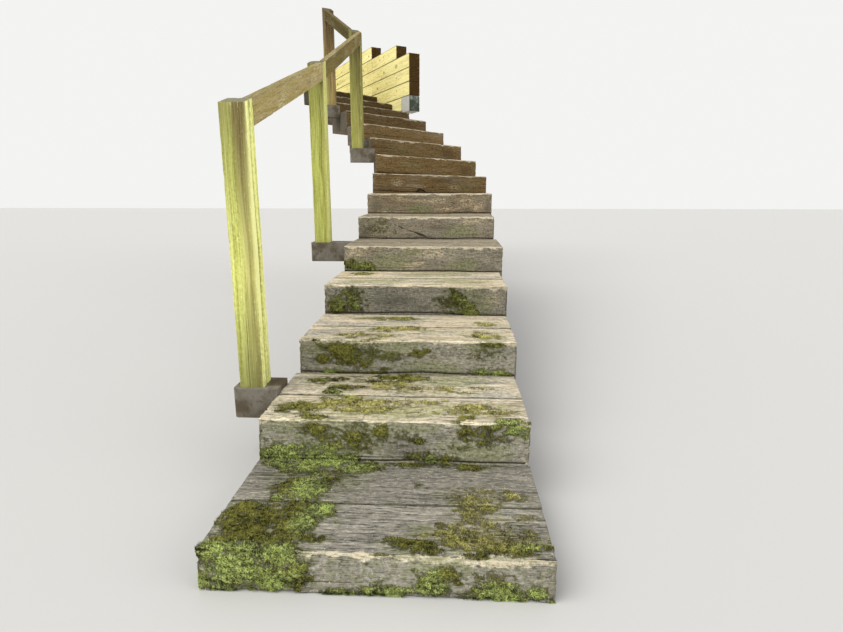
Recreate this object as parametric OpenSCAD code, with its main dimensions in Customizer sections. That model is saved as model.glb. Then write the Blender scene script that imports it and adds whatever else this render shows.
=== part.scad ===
// Weathered timber garden steps with a handrail on the left and a stepped timber wall at the top right.
// A straight lower flight of eight steps, four winders that turn left, and three upper steps.
// Each tread is a front tie with a second timber behind it, and the next tie is bedded behind the pair.
// The origin is on the underside of the lowest tie, halfway from its front to its back, on the
// middle line of the lower flight. The flight climbs along +Y.

/* [Ties] */
// Length of a tie
tie_len = 864; // [700:1:1100]
// Depth of a tie from front to back
tie_deep = 229; // [190:1:260]
// Height of a tie
tie_high = 178; // [165:1:220]
// Height of the lowest tie and its rear timber above the ground
first_high = 115; // [90:1:178]
// Radius to which the top edges are worn
worn_edge = 9; // [3:0.5:15]
// Extra length at the left end of each tie, which gives the flight its uneven sides
left_extra = [25, 22, 7, 5, -5, -12, -5, 20, 0, 0, 0, 0, -30, -30, -30]; // [-40:1:40]
// Extra length at the right end of each tie
right_extra = [-7, -9, -2, 2, 20, 6, 22, 10, 0, 0, 0, 0, 30, 30, 30]; // [-40:1:40]

/* [Steps] */
// Rise of each lower step
low_rise = 140; // [110:1:155]
// Rise of each winder
winder_rise = 152; // [120:1:158]
// Rise of each upper step
top_rise = 145; // [120:1:158]
// Turn to the left at each winder, in degrees
winder_turn = [12, 11, 5, 2]; // [0:0.5:12]
// Depth, on the middle of the flight, of the rear timber in front of each winder
winder_pack = [150, 90, 120, 145]; // [90:1:200]
// Fall to the right of the last lower tie, in degrees
last_fall = 1.8; // [0:0.1:3]
// Fall to the right of the winders and the upper ties, in degrees
side_fall = 3.5; // [0:0.1:4]

/* [Posts] */
// Side of a square post
post_size = 89; // [70:1:120]
// Newel: gap to the tie ends, top above its tread, and foot above its tread
newel_fit = [76, 1008, 19]; // [0:1:1200]
// Second post: gap to the tie ends, top above its tread, and foot above its tread
second_fit = [126, 1005, -6]; // [-20:1:1200]
// Third post: gap to the tie ends, rail top above its tread, and foot above its tread
third_fit = [93, 961, 68]; // [0:1:1200]
// Fourth post: gap to the tie ends, top above its tread, and foot above its tread
fourth_fit = [31, 892, 12]; // [0:1:1200]
// Fifth post: gap to the tie ends, top above its tread, and foot above its tread
fifth_fit = [23, 964, 92]; // [0:1:1200]

/* [Footings] */
// Width of the concrete pad beyond a post's sides
pad_margin = 20; // [10:1:40]
// Radius of the pad's outer corners
pad_round = 18; // [5:1:30]
// Depth of the pad
pad_deep = 110; // [90:1:160]
// Depth to which a post is set in it
pad_grip = 70; // [40:1:80]

/* [Rails] */
// Thickness of a rail
rail_thick = 38; // [30:1:50]
// Height of a rail's board on edge
rail_deep = 89; // [70:1:140]

/* [Wall] */
// Height of one course of wall timber
course_high = 143; // [130:1:160]
// Thickness of the wall
wall_thick = 130; // [100:1:200]
// Length of the wall along the upper steps
wall_len = 2600; // [2000:10:3200]
// Distance from the front of the first upper step to the wall's end
wall_start = 10; // [0:1:160]
// Height of the wall's underside above that tread
wall_lift = 34; // [0:1:60]
// Distance from the wall's end to the first step up in its top
first_setback = 330; // [200:5:500]
// Distance from there to the next step up
next_setback = 740; // [500:1:900]
// Length of the concrete block that ends the lowest course
block_len = 200; // [100:1:300]
// Depth to which the block reaches below that course
block_drop = 25; // [0:1:60]
// Distance from the wall's end to the butt joint in the third course
joint_at = 1050; // [500:5:1500]
// Distance from the wall's end to the tie-back whose end shows in the fifth course
tie_back_at = 1062; // [700:1:1400]
// Gap at a butt joint
joint_gap = 2; // [1:0.5:5]

/* [Hidden] */

low_steps = 8;
winders = len(winder_turn);
first_top = low_steps + winders + 1;
full_courses = 4;

// Larger than the whole flight, for cutting planes
reach = 3000;
// Pieces of each quarter round on a worn edge
edge_steps = 3;

tie_colour = "#6f6656";
rear_colour = "#635b4b";
post_colour = "#8b8a43";
rail_colour = "#9a9079";
wall_colour = "#cdbb62";
concrete_colour = "#9b9c98";

// Places of the steps, counted from the bottom. Each is the middle of a tie's front top edge.
// A winder's own number, from 1, or 0 before the winders and the last number after them
function winder(k) = max(0, min(k - low_steps, winders));
function sum_to(list, n) = n == 0 ? 0 : list[n - 1] + sum_to(list, n - 1);
function tread_yaw(k) = sum_to(winder_turn, winder(k));
function tread_fall(k) = k < low_steps ? 0 : k == low_steps ? last_fall : side_fall;
function tread_top(k) =
    first_high + low_rise * (min(k, low_steps) - 1) + winder_rise * winder(k)
    + top_rise * max(0, k - low_steps - winders);
function going(k) =
    k > low_steps && k < first_top ? tie_deep + winder_pack[winder(k) - 1] : 2 * tie_deep;
function high(k) = k == 1 ? first_high : tie_high;
function left_end(k) = -tie_len / 2 - left_extra[k - 1];
function right_end(k) = tie_len / 2 + right_extra[k - 1];
function along(yaw) = [-sin(yaw), cos(yaw)];
function across(yaw) = [cos(yaw), sin(yaw)];
function tread_at(k) =
    k == 1 ? [0, -tie_deep / 2]
    : tread_at(k - 1) + going(k) * along((tread_yaw(k - 1) + tread_yaw(k)) / 2);
// A point on tread k, measured along the tie from its middle and back from its front
function on_tread(k, side, back) =
    tread_at(k) + side * across(tread_yaw(k)) + back * along(tread_yaw(k));

// Posts in order up the flight: tread beside the post, and distance back from that tread's front
post_tread = [2, 5, 9, 10, 12];
post_back = [278, 294, 95, 150, 263];
post_fit = [newel_fit, second_fit, third_fit, fourth_fit, fifth_fit];
function post_at(i) =
    on_tread(post_tread[i], -tie_len / 2 - post_fit[i][0] - post_size / 2, post_back[i]);
function post_top(i) = tread_top(post_tread[i]) + post_fit[i][1];
function post_foot(i) = tread_top(post_tread[i]) + post_fit[i][2];
function heading(i, j) = atan2(post_at(i)[0] - post_at(j)[0], post_at(j)[1] - post_at(i)[1]);
function rail_run(i, j) = norm(post_at(j) - post_at(i));
function rail_pitch(i, j) = atan2(post_top(j) - post_top(i), rail_run(i, j));
// Each post faces along the rail that starts or ends on it
post_yaw = [
    heading(0, 1), (heading(0, 1) + heading(1, 2)) / 2, heading(1, 2), heading(3, 4), heading(3, 4)
];
post_pitch = [
    rail_pitch(0, 1), (rail_pitch(0, 1) + rail_pitch(1, 2)) / 2, rail_pitch(1, 2),
    rail_pitch(3, 4), rail_pitch(3, 4)
];

// Outline of a timber seen from its end, with its front top and back top edges worn round
function worn_corner(y, z, from) = [
    for (s = [0 : edge_steps])
        let (a = from - 90 * s / edge_steps)
        [y + worn_edge * cos(a), z + worn_edge * sin(a)]
];
module timber_end(deep, high) {
    polygon(concat(
        [[0, -high]],
        worn_corner(worn_edge, -worn_edge, 180),
        worn_corner(deep - worn_edge, -worn_edge, 90),
        [[deep, -high]]
    ));
}

// Everything in it is placed on tread k: x along the tie, y back from its front, z above its top
module place_on_tread(k) {
    translate([tread_at(k)[0], tread_at(k)[1], tread_top(k)])
        rotate([0, 0, tread_yaw(k)])
            rotate([0, tread_fall(k), 0])
                children();
}

// A four-sided plan between two lines across tread k and tread m, each at its own distance back
module plan(k, back, m, far) {
    polygon([
        on_tread(k, left_end(k), back),
        on_tread(k, right_end(k), back),
        on_tread(m, right_end(k), far),
        on_tread(m, left_end(k), far)
    ]);
}

// A timber laid along tread k, with plumb ends
module tie(k) {
    color(tie_colour)
        intersection() {
            linear_extrude(tread_top(k) + high(k))
                plan(k, 0, k, tie_deep);
            place_on_tread(k)
                translate([-tie_len, 0, 0])
                    rotate([90, 0, 90])
                        linear_extrude(2 * tie_len)
                            timber_end(tie_deep, high(k));
        }
}

// The rear timber fills the space up to the next tie. On the winders it is sawn to a taper.
module rear_timber(k) {
    color(rear_colour)
        intersection() {
            linear_extrude(tread_top(k) + high(k))
                plan(k, tie_deep, k + 1, 0);
            place_on_tread(k)
                translate([-tie_len, 0, -high(k)])
                    cube([2 * tie_len, 3 * tie_deep, high(k)]);
        }
}

module place_on_post(i) {
    translate([post_at(i)[0], post_at(i)[1], 0])
        rotate([0, 0, post_yaw[i]])
            children();
}

// Everything above the plane that slopes with the rail and passes z at the post's middle
module above_slope(z, pitch) {
    translate([0, 0, z])
        rotate([pitch, 0, 0])
            translate([-reach / 2, -reach / 2, 0])
                cube([reach, reach, reach]);
}

// A post whose top is cut parallel to its rail. One that carries a rail is lower by the rail.
module post(i, under_rail = false) {
    top = post_top(i) - (under_rail ? rail_deep / cos(post_pitch[i]) : 0);
    foot = post_foot(i) - pad_grip;
    color(post_colour)
        place_on_post(i)
            difference() {
                translate([-post_size / 2, -post_size / 2, foot])
                    cube([post_size, post_size, top + post_size - foot]);
                above_slope(top, post_pitch[i]);
            }
}

// A rail between the middles of two posts. The side is 1 for their right faces and -1 for the left.
module rail_bar(i, j, side) {
    pitch = rail_pitch(i, j);
    translate([post_at(i)[0], post_at(i)[1], post_top(i)])
        rotate([0, 0, heading(i, j)])
            translate([side * (post_size - rail_thick) / 2, 0, 0])
                rotate([pitch, 0, 0])
                    translate([-rail_thick / 2, -post_size, -rail_deep])
                        cube([rail_thick, rail_run(i, j) / cos(pitch) + 2 * post_size, rail_deep]);
}

// Cuts away what lies before or behind a plane across post i, given from the post's middle
module cut_before(i, y) {
    place_on_post(i)
        translate([-reach / 2, y - reach, -reach])
            cube([reach, reach, 3 * reach]);
}
module cut_behind(i, y) {
    place_on_post(i)
        translate([-reach / 2, y, -reach])
            cube([reach, reach, 3 * reach]);
}

// The rail has plumb cuts: it starts at the back of post i and ends at a plane across post j
module rail(i, j, side, end) {
    color(rail_colour)
        difference() {
            rail_bar(i, j, side);
            cut_before(i, post_size / 2);
            cut_behind(j, end);
        }
}

// Concrete pad round a post's foot, cast between the post and the end of the timber beside it
module pad(i) {
    k = post_tread[i];
    half = post_size / 2 + pad_margin;
    inner = post_fit[i][0] + post_size / 2 + tie_len / 2 + left_end(k);
    difference() {
        translate([post_at(i)[0], post_at(i)[1], post_foot(i) - pad_deep])
            rotate([0, 0, tread_yaw(k)])
                linear_extrude(pad_deep)
                    pad_plan(half, inner);
        place_on_post(i)
            translate([-post_size / 2, -post_size / 2, post_foot(i) - pad_grip])
                cube([post_size, post_size, pad_deep]);
    }
}
module pad_plan(half, inner) {
    for (side = [-1, 1])
        translate([pad_round - half, side * (half - pad_round)])
            circle(pad_round, $fn = 32);
    translate([-half, pad_round - half])
        square([half + inner, 2 * (half - pad_round)]);
    translate([pad_round - half, -half])
        square([half + inner - pad_round, 2 * half]);
}
module post_footings() {
    color(concrete_colour)
        for (i = [0 : len(post_tread) - 1])
            pad(i);
}

// The wall stands against the right ends of the upper ties. Its courses lie level.
function wall_base() = tread_top(first_top) - sin(side_fall) * tie_len / 2 + wall_lift;
function course_start(n) =
    n == 1 ? block_len
    : n <= full_courses ? 0
    : first_setback + next_setback * (n - full_courses - 1);
module place_on_wall() {
    corner = on_tread(first_top, right_end(first_top), wall_start);
    translate([corner[0], corner[1], wall_base()])
        rotate([0, 0, tread_yaw(first_top)])
            children();
}
module wall_timber(n, from, to) {
    translate([0, from, course_high * (n - 1)])
        cube([wall_thick, to - from, course_high]);
}
// The places where a course is cut across
function cuts(n) = n == 3 ? [joint_at] : n == 5 ? [tie_back_at, tie_back_at + course_high] : [];
module wall_course(n) {
    ends = concat([course_start(n)], cuts(n), [wall_len]);
    color(wall_colour)
        place_on_wall()
            for (i = [0 : len(ends) - 2])
                wall_timber(n, ends[i] + (i > 0 ? joint_gap / 2 : 0),
                            ends[i + 1] - (i < len(ends) - 2 ? joint_gap / 2 : 0));
}
module wall_end_block() {
    color(concrete_colour)
        place_on_wall()
            translate([0, 0, -block_drop])
                cube([wall_thick, block_len, course_high + block_drop]);
}

tie(1);  // tie_01
tie(2);  // tie_02
tie(3);  // tie_03
tie(4);  // tie_04
tie(5);  // tie_05
tie(6);  // tie_06
tie(7);  // tie_07
tie(8);  // tie_08
tie(9);  // tie_09
tie(10);  // tie_10
tie(11);  // tie_11
tie(12);  // tie_12
tie(13);  // tie_13
tie(14);  // tie_14
tie(15);  // tie_15
rear_timber(1);  // rear_timber_01
rear_timber(2);  // rear_timber_02
rear_timber(3);  // rear_timber_03
rear_timber(4);  // rear_timber_04
rear_timber(5);  // rear_timber_05
rear_timber(6);  // rear_timber_06
rear_timber(7);  // rear_timber_07
rear_timber(8);  // rear_timber_08
rear_timber(9);  // rear_timber_09
rear_timber(10);  // rear_timber_10
rear_timber(11);  // rear_timber_11
rear_timber(12);  // rear_timber_12
rear_timber(13);  // rear_timber_13
rear_timber(14);  // rear_timber_14
post(0);  // newel_post
post(1);  // second_post
post(2, under_rail = true);  // third_post
post(3);  // fourth_post
post(4);  // fifth_post
rail(0, 1, 1, -post_size / 2);  // lower_rail
rail(1, 2, 1, post_size / 2);  // middle_rail
rail(3, 4, -1, -post_size / 2);  // upper_rail
post_footings();
wall_course(1);  // wall_course_1
wall_course(2);  // wall_course_2
wall_course(3);  // wall_course_3
wall_course(4);  // wall_course_4
wall_course(5);  // wall_course_5
wall_course(6);  // wall_course_6
wall_end_block();
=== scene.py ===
import itertools
import math
import random

import bpy
import numpy as np
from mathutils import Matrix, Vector, noise


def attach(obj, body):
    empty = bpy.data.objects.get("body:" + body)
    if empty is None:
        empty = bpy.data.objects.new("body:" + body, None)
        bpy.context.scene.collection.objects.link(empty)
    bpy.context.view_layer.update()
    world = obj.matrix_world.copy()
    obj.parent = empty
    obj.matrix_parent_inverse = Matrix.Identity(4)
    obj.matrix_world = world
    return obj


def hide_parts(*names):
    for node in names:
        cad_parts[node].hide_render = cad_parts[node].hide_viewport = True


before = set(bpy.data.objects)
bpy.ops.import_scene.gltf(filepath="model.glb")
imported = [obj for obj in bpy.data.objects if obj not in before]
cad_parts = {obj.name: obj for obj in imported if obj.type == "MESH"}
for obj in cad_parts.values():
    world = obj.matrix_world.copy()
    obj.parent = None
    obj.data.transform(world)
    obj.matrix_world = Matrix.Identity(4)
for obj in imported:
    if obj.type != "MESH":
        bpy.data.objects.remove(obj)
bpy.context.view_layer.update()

MM = 0.001

# Which lattice axis is which on every timber: along the grain, across it, and up or out
GRAIN, ACROSS, UP = 0, 1, 2


# Camera, at the place and with the lens that the photograph was taken with. Places are in metres

PHOTO_WIDTH = 843
FOCAL_PIXELS = 537.5
CAMERA_PLACE = (0.158, -1.233, 0.968)
CAMERA_PITCH_DOWN = 13.07
CAMERA_TURN_LEFT = 2.945


def make_camera():
    data = bpy.data.cameras.new("camera")
    data.sensor_width = 36
    data.lens = FOCAL_PIXELS / PHOTO_WIDTH * data.sensor_width
    data.clip_end = 100
    camera = bpy.data.objects.new("camera", data)
    camera.location = CAMERA_PLACE
    camera.rotation_euler = (math.radians(90 - CAMERA_PITCH_DOWN), 0, math.radians(CAMERA_TURN_LEFT))
    bpy.context.scene.collection.objects.link(camera)
    bpy.context.scene.camera = camera


# Shader maths

def rgba(colour):
    """A node's output as it is, and a plain colour with its alpha."""
    return colour if isinstance(colour, Socket) else (*colour, 1)


class Socket:
    """A socket of a material's node. Sums on it add Math nodes."""

    def __init__(self, shader, socket):
        self.shader = shader
        self.socket = socket

    def math(self, operation, *others):
        values = dict(enumerate((self, *others)))
        return self.shader.node("ShaderNodeMath", {"operation": operation}, values)

    def __add__(self, other):
        return self.math("ADD", other)

    def __sub__(self, other):
        return self.math("SUBTRACT", other)

    def __rsub__(self, other):
        return self.math("MULTIPLY", -1.0) + other

    def __mul__(self, other):
        return self.math("MULTIPLY", other)

    __radd__ = __add__
    __rmul__ = __mul__


class Shader:
    """The nodes of one new material or world."""

    def __init__(self, owner):
        self.owner = owner
        self.owner.use_nodes = True
        self.tree = self.owner.node_tree
        self.tree.nodes.clear()

    def node(self, kind, settings=None, inputs=None, out=0):
        """Adds a node, sets its settings first and then its sockets, and gives one of its outputs."""
        node = self.tree.nodes.new(kind)
        for key, value in (settings or {}).items():
            setattr(node, key, value)
        for key, value in (inputs or {}).items():
            if isinstance(value, Socket):
                self.tree.links.new(value.socket, node.inputs[key])
            else:
                node.inputs[key].default_value = value
        return Socket(self, node.outputs[out]) if node.outputs else None

    def field(self, name):
        """A number that is kept on the mesh."""
        return self.node("ShaderNodeAttribute", {"attribute_name": name}, out="Fac")

    def place(self, name):
        """A place that is kept on the mesh."""
        return self.node("ShaderNodeAttribute", {"attribute_name": name}, out="Vector")

    def noise(self, scale, detail, rough, twist=0.0):
        """Noise that goes with the wood, finer along an axis the larger its scale is."""
        scaled = {0: self.place("wood"), 1: scale}
        place = self.node("ShaderNodeVectorMath", {"operation": "MULTIPLY"}, scaled)
        return self.node("ShaderNodeTexNoise", {"noise_dimensions": "3D"},
                         {"Vector": place, "Scale": 1.0, "Detail": detail, "Roughness": rough,
                          "Distortion": twist}, "Fac")

    def ramp(self, value, low, high):
        """0 where the value is under low, 1 where it is over high, and smooth between."""
        return self.node("ShaderNodeMapRange", {"interpolation_type": "SMOOTHSTEP"},
                         {"Value": value, "From Min": low, "From Max": high})

    def mix(self, share, a, b):
        """The colour a where share is 0 and b where it is 1."""
        return self.node("ShaderNodeMix", {"data_type": "RGBA"}, {0: share, 6: rgba(a), 7: rgba(b)}, 2)

    def shade(self, share, colour, by):
        """The colour, multiplied by a grey where share is 1."""
        return self.node("ShaderNodeMix", {"data_type": "RGBA", "blend_type": "MULTIPLY"},
                         {0: share, 6: rgba(colour), 7: (by, by, by, 1)}, 2)

    def finish(self, colour, roughness, gloss, height=None, depth=0.0):
        """Ends the material. A height from 0 to 1 stands for depth in metres."""
        inputs = {"Base Color": rgba(colour), "Roughness": roughness, "Specular IOR Level": gloss}
        if height is not None:
            bump = {"Strength": 1.0, "Distance": depth, "Height": height}
            inputs["Normal"] = self.node("ShaderNodeBump", None, bump)
        surface = self.node("ShaderNodeBsdfPrincipled", None, inputs)
        self.node("ShaderNodeOutputMaterial", None, {"Surface": surface})
        return self.owner


# Finishes, and how strongly each kind of surface reflects

DRY_GLOSS = 0.08
MOSS_GLOSS = 0.05
FLOOR_GLOSS = 0.5


def timber_finish(name, tones, warm_tones, end_tone, checks, streak, short=1.0, stripe=10):
    """Weathered wood. tones are its dark, middle, light, bleached and worn colours, and warm_tones a dark
    and a light one for where it is brown. checks is how split it is, streak how much its grain shows as
    lines, short how often these break off, and stripe how many broad stripes lie across a metre."""
    s = Shader(bpy.data.materials.new(name))

    # The grain in its bands, with splits and open pores
    fine = s.noise((22 * short, 330, 330), 5, 0.65, 0.15)
    bands = s.noise((6 * short, 80, 80), 5, 0.6, 0.4)
    broad = s.noise((3 * short, stripe, stripe), 4, 0.6)
    mottle = s.noise((75, 110, 110), 6, 0.75)
    split_at = s.noise((2.0, 60, 60), 3, 0.55, 0.3)
    front = s.field("front")
    open_grain = 1 - front * 0.8
    split = 1 - s.ramp((split_at - 0.5).math("ABSOLUTE"), 0.002, 0.012)
    split = split * s.ramp(broad, 0.48, 0.58) * open_grain * checks

    lined = fine * 0.42 + bands * 0.24 * streak + mottle * (0.34 + 0.24 * (1 - streak))
    rough = fine * 0.20 + bands * 0.20 + mottle * 0.60
    grain = lined + (rough - lined) * front
    colour = s.mix(s.ramp(grain, 0.40, 0.50), tones[0], tones[1])
    colour = s.mix(s.ramp(grain, 0.49, 0.60), colour, tones[2])
    bleached = s.field("bleach") * s.ramp(broad * 0.4 + bands * 0.25 + mottle * 0.35, 0.40, 0.58)
    colour = s.mix(bleached * 0.62, colour, tones[3])
    colour = s.mix(s.ramp(broad, 0.52, 0.72) * 0.40, colour, tones[0])
    pores = 1 - s.ramp(fine, 0.34, 0.45)
    colour = s.shade(pores * (0.40 + 0.45 * open_grain) * checks, colour, 0.30)
    spots = s.noise((45, 60, 60), 6, 0.72)
    flecks = s.noise((95, 125, 125), 3, 0.6)
    blotch = s.ramp(spots * 0.5 + mottle * 0.5, 0.46, 0.60)
    colour = s.shade(front * blotch * 0.55, colour, 0.42)
    colour = s.mix(front * s.ramp(flecks, 0.56, 0.66) * 0.55, colour, tones[2])

    # Brown wood, and pale patches
    warm = s.field("warm") * (0.35 + 0.65 * s.ramp(broad * 0.5 + mottle * 0.5, 0.36, 0.56))
    warm_colour = s.mix(s.ramp(grain, 0.42, 0.57), warm_tones[0], warm_tones[1])
    colour = s.mix(warm, colour, warm_colour)
    pale = s.field("pale") * s.ramp(flecks * 0.5 + fine * 0.5, 0.47, 0.58)
    colour = s.mix(pale * 0.75, colour, tones[3])

    # The end of a timber shows its rings
    reach = s.node("ShaderNodeVectorMath", {"operation": "LENGTH"}, {0: s.place("heart")}, "Value")
    rings = (reach * 1100 + mottle * 9).math("SINE") * 0.5 + 0.5
    end_colour = s.shade(rings * 0.5, end_tone, 0.55)
    colour = s.mix(s.field("end"), colour, end_colour)

    # Knots are darker, with rings of their own
    knot = s.field("knot")
    knot_rings = (knot * 30 + mottle * 3).math("SINE") * 0.35 + 0.65
    colour = s.mix(s.ramp(knot, 0.30, 0.70) * knot_rings * 0.85, colour, warm_tones[0])

    # Worn edges are pale
    wear = s.field("wear") + (fine - 0.5) * 2.2 + (mottle - 0.5) * 2.6
    worn = s.mix(s.ramp(grain, 0.40, 0.56), tones[3], tones[4])
    colour = s.mix(s.ramp(wear, 0.34, 0.78) * 0.9, colour, worn)

    # Green growth: a thin film, and moss where it is thick
    tufts = s.noise((300, 340, 340), 5, 0.75)
    clump = s.noise((140, 130, 110), 5, 0.75)
    ragged = (spots - 0.5) * 2.4 + (tufts - 0.5) * 1.6 + (clump - 0.5) * 1.4
    film = s.ramp(s.field("film") + ragged * s.ramp(s.field("film"), 0.0, 0.2), 0.20, 0.80)
    stain = s.mix(s.ramp(grain, 0.40, 0.58), (0.085, 0.092, 0.036), (0.290, 0.305, 0.150))
    golden = s.mix(s.ramp(grain, 0.40, 0.58), (0.200, 0.180, 0.060), (0.500, 0.460, 0.190))
    stain = s.mix(s.field("gold"), stain, golden)
    colour = s.mix(film * 0.70, colour, stain)
    moss = s.ramp(s.field("moss") + ragged * s.ramp(s.field("moss"), 0.0, 0.2), 0.30, 0.80)
    # Painted light on the tops of the clumps and painted shade in the gaps between them
    light = s.ramp(clump * 0.5 + tufts * 0.5, 0.42, 0.58)
    deep = s.mix(light, (0.026, 0.026, 0.004), (0.360, 0.355, 0.075))
    vivid = s.mix(light, (0.014, 0.022, 0.004), (0.740, 0.860, 0.270))
    gold = s.mix(light, (0.150, 0.130, 0.030), (0.740, 0.690, 0.240))
    growth = s.mix(s.field("bright") * s.ramp(spots, 0.36, 0.56), deep, vivid)
    growth = s.mix(s.field("gold") * s.ramp(spots, 0.38, 0.58), growth, gold)
    colour = s.mix(moss * 0.94, colour, growth)

    # Grooves and joints hold dirt, with painted shade in the line along the foot of each step's front. Dirt,
    # dark stains and painted shade darken parts of the wood, and pale specks lie on the surface
    crack = s.ramp(s.field("crack"), 0.1, 0.75) * (1 - moss * 0.7)
    colour = s.mix(crack * 0.9, colour, (0.030, 0.024, 0.016))
    colour = s.mix(split * (1 - moss) * 0.8, colour, (0.050, 0.041, 0.028))
    colour = s.shade(s.field("grime") * s.ramp(bands * 0.6 + mottle * 0.4, 0.36, 0.58), colour, 0.38)
    speck = s.ramp(s.noise((150, 170, 170), 2, 0.4), 0.69, 0.74)
    colour = s.mix(speck * s.field("specks") * 0.7, colour, (0.74, 0.71, 0.60))

    colour = s.node("ShaderNodeHueSaturation", None, {"Value": s.field("tone"), "Color": colour})
    height = fine * 0.25 + bands * 0.20 + mottle * 0.25 - split * 0.6
    height = height + moss * (0.1 + tufts * 0.7 + clump * 2.0)
    return s.finish(colour, 0.85 + moss * 0.1, DRY_GLOSS, height, 0.0045)


def concrete_finish(name, pale, dark, soil):
    """Rough concrete with sand and pits, brown where soil lies on it, and green on its ends."""
    s = Shader(bpy.data.materials.new(name))
    broad = s.noise((9, 9, 9), 5, 0.6)
    sand = s.noise((420, 420, 420), 3, 0.6)
    pits = s.ramp(s.noise((95, 95, 95), 2, 0.5), 0.60, 0.70)
    colour = s.mix(s.ramp(broad, 0.3, 0.7), dark, pale)
    colour = s.mix(sand * 0.5, colour, dark)
    colour = s.mix(pits * 0.6, colour, (0.12, 0.115, 0.10))
    colour = s.mix(s.ramp(broad + sand * 0.25, 0.48, 0.74) * soil, colour, (0.105, 0.082, 0.052))
    colour = s.mix(s.field("end") * s.ramp(broad, 0.2, 0.5), colour, (0.068, 0.080, 0.060))
    return s.finish(colour, 0.9, DRY_GLOSS, broad * 0.4 + sand * 0.3 - pits * 0.5, 0.004)


def moss_finish():
    """Single blades of moss, darker at the foot and lighter at the tip, partly their own colour and partly
    painted shade and painted light.
    """
    s = Shader(bpy.data.materials.new("moss_blades"))
    tip = s.field("tip")
    olive = s.mix(tip, (0.036, 0.035, 0.005), (0.400, 0.390, 0.085))
    vivid = s.mix(tip, (0.040, 0.060, 0.006), (0.780, 0.940, 0.300))
    gold = s.mix(tip, (0.200, 0.180, 0.045), (0.720, 0.670, 0.240))
    colour = s.mix(s.field("gold"), s.mix(s.field("bright"), olive, vivid), gold)
    colour = s.node("ShaderNodeHueSaturation", None, {"Value": s.field("tone"), "Color": colour})
    return s.finish(colour, 0.9, MOSS_GLOSS)


# Dark, middle, light, bleached and worn colours, and a dark and a light one for where wood is brown
TIE_TONES = ((0.085, 0.078, 0.063), (0.290, 0.269, 0.222), (0.540, 0.500, 0.418), (0.740, 0.615, 0.405),
             (0.740, 0.670, 0.510))
TIE_WARM = ((0.100, 0.061, 0.023), (0.295, 0.185, 0.078))
POST_TONES = ((0.30, 0.285, 0.060), (0.50, 0.525, 0.125), (0.68, 0.69, 0.21), (0.87, 0.87, 0.38),
              (0.88, 0.86, 0.46))
POST_WARM = ((0.190, 0.148, 0.052), (0.340, 0.280, 0.112))
BROWN_WARM = ((0.130, 0.080, 0.032), (0.400, 0.275, 0.125))
RAIL_TONES = ((0.170, 0.130, 0.034), (0.295, 0.237, 0.068), (0.435, 0.368, 0.115), (0.590, 0.510, 0.310),
              (0.660, 0.600, 0.400))
WALL_TONES = ((0.56, 0.43, 0.120), (0.95, 0.83, 0.31), (0.98, 0.90, 0.42), (0.99, 0.93, 0.50),
              (0.97, 0.92, 0.66))
END_GREY = (0.170, 0.145, 0.100)
END_BROWN = (0.062, 0.031, 0.006)
POST_END = (0.29, 0.27, 0.175)
BROWN_POST_END = (0.30, 0.23, 0.14)

FINISH = {
    "tie": timber_finish("weathered_tie", TIE_TONES, TIE_WARM, END_GREY, 1.0, 1.0),
    "post": timber_finish("green_post", POST_TONES, POST_WARM, POST_END, 0.12, 1.5, 0.3, 26),
    "brown": timber_finish("brown_post", POST_TONES, BROWN_WARM, BROWN_POST_END, 0.12, 1.5, 0.3, 26),
    "rail": timber_finish("grey_rail", RAIL_TONES, TIE_WARM, END_GREY, 0.5, 0.7, 0.6, 22),
    "wall": timber_finish("yellow_timber", WALL_TONES, TIE_WARM, END_BROWN, 0.3, 1.3, 0.4, 16),
    "block": concrete_finish("rough_concrete", (0.86, 0.86, 0.80), (0.55, 0.56, 0.50), 0.25),
    "pad": concrete_finish("soiled_concrete", (0.40, 0.38, 0.33), (0.22, 0.20, 0.16), 0.95),
    "moss": moss_finish(),
}


# Reading the timbers of the frame

def points_of(node):
    """The different corner points of a CAD node."""
    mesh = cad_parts[node].data
    return np.array(sorted({tuple(round(c, 6) for c in v.co) for v in mesh.vertices}))


def face_directions(node):
    """The outward directions of a CAD node's faces, from the largest face to the smallest."""
    areas = {}
    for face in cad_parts[node].data.polygons:
        key = tuple(round(c, 2) + 0.0 for c in face.normal)
        areas[key] = areas.get(key, 0) + face.area
    return [np.array(k) / np.linalg.norm(k) for k in sorted(areas, key=areas.get, reverse=True)]


def corners_of(points, along, across):
    """The eight corners of a timber, as [along][across][up], also where it is cut aslant or rounded."""
    up = np.cross(along, across)
    axes = np.array([along, across, up])
    local = points @ axes.T
    low, high = local.min(0), local.max(0)
    share = (local - low) / (high - low)
    corners = np.zeros((2, 2, 2, 3))
    for pick in itertools.product((0, 1), repeat=3):
        signs = np.array(pick) * 2 - 1
        corners[pick] = points[np.argmax(share @ signs)]
    return corners


def box_corners(node, along, across):
    return corners_of(points_of(node), along, across)


def tie_axes(node):
    """Along a tie from left to right, and across it from front to back."""
    flat = [d for d in face_directions(node) if abs(d[2]) < 0.3]
    front = min(flat[:2], key=lambda d: d[1])
    across = -np.array([front[0], front[1], 0]) / np.hypot(front[0], front[1])
    top = next(d for d in face_directions(node) if d[2] > 0.9)
    along = np.cross(across, top)
    return along / np.linalg.norm(along), across


# Timber meshes

def lines(length, spacing, edge, extra=()):
    """Places of the lattice's lines along one side, closer at the rounded edges. extra lists more places,
    each with how far away the next line lies on both sides."""
    inner = np.linspace(edge, length - edge, max(2, round((length - 2 * edge) / spacing) + 1))
    places = [0, edge * 0.3, edge * 0.65, *inner, length - edge * 0.65, length - edge * 0.3, length]
    for place, half in extra:
        places = [p for p in places if abs(p - place) > half * 1.6]
        places += [place - half, place, place + half]
    return np.array(sorted(places))


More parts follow.
